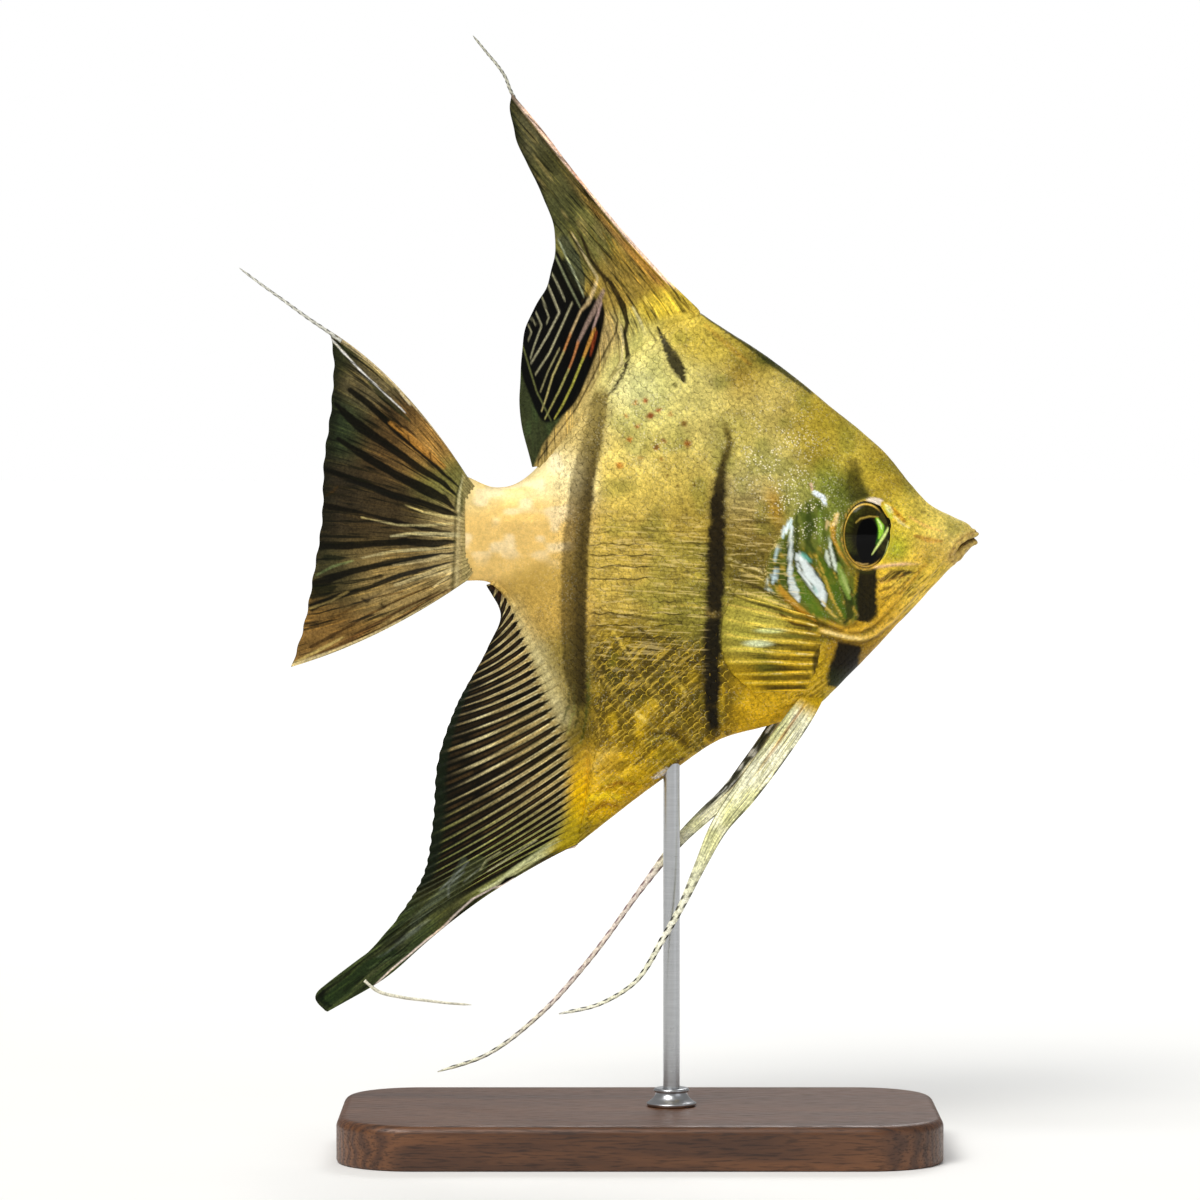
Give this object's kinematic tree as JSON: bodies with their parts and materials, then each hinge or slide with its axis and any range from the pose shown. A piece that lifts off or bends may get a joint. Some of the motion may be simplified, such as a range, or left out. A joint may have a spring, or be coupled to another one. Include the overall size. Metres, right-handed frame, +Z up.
{
  "type": "freshwater angelfish (Pterophyllum scalare), life-size display model",
  "caption": "Freshwater angelfish with tall swept fins and trailing pelvic threads, held by a rod on a rounded wooden base.",
  "frame": {"origin": "centre of the bounding box's underside, on the surface the base stands on", "axes": "+X the way the fish faces, +Y its left side, +Z up"},
  "size_m": [0.1322, 0.058, 0.2009],
  "materials": {
    "fish_skin": "satin",
    "fin_web": "satin",
    "pelvic_web": "satin",
    "eye_glass": "gloss",
    "base_walnut": "satin",
    "rod_steel": "satin"
  },
  "bodies": {
    "root": {"head": "fish_skin", "lower_jaw": "fish_skin", "gill_cover_left": "fish_skin", "gill_cover_right": "fish_skin", "trunk": "fish_skin", "tail_stalk": "fish_skin", "eye_left": "eye_glass", "eye_right": "eye_glass", "dorsal_fin": "fin_web", "dorsal_streamer": "fin_web", "anal_fin": "fin_web", "anal_streamer": "fin_web", "tail_fin": "fin_web", "tail_streamer": "fin_web", "pectoral_fin_left": "fin_web", "pectoral_fin_right": "fin_web", "pelvic_fin_left": "pelvic_web", "pelvic_fin_right": "pelvic_web", "stand_base": "base_walnut", "stand_rod": "rod_steel", "stand_collar": "rod_steel"}
  },
  "joints": []
}
